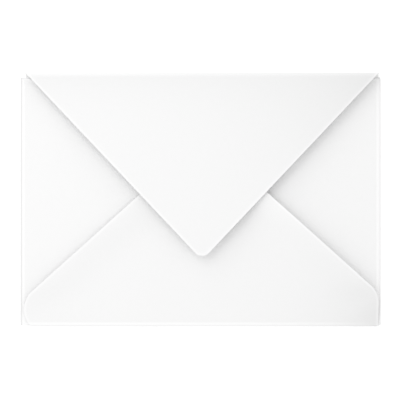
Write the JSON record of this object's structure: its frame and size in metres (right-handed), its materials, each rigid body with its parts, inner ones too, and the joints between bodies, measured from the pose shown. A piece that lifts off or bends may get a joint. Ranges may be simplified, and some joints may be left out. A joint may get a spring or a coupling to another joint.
{
  "type": "paper envelope",
  "caption": "Folded paper envelope for a letter or greeting card, with a deep pointed closing flap over diagonal side and bottom flaps, lying flap side up.",
  "frame": {"origin": "on the table, under the middle of the folded envelope", "axes": "+X along the long folded edges, to the right in the picture; +Y towards the folded edge of the closing flap, up in the picture; +Z from the address panel, which lies face down, up to the closing flap"},
  "size_m": [0.162, 0.114, 0.0053],
  "materials": {
    "paper": "matt white uncoated paper"
  },
  "bodies": {
    "root": {"envelope": "paper"}
  },
  "joints": []
}
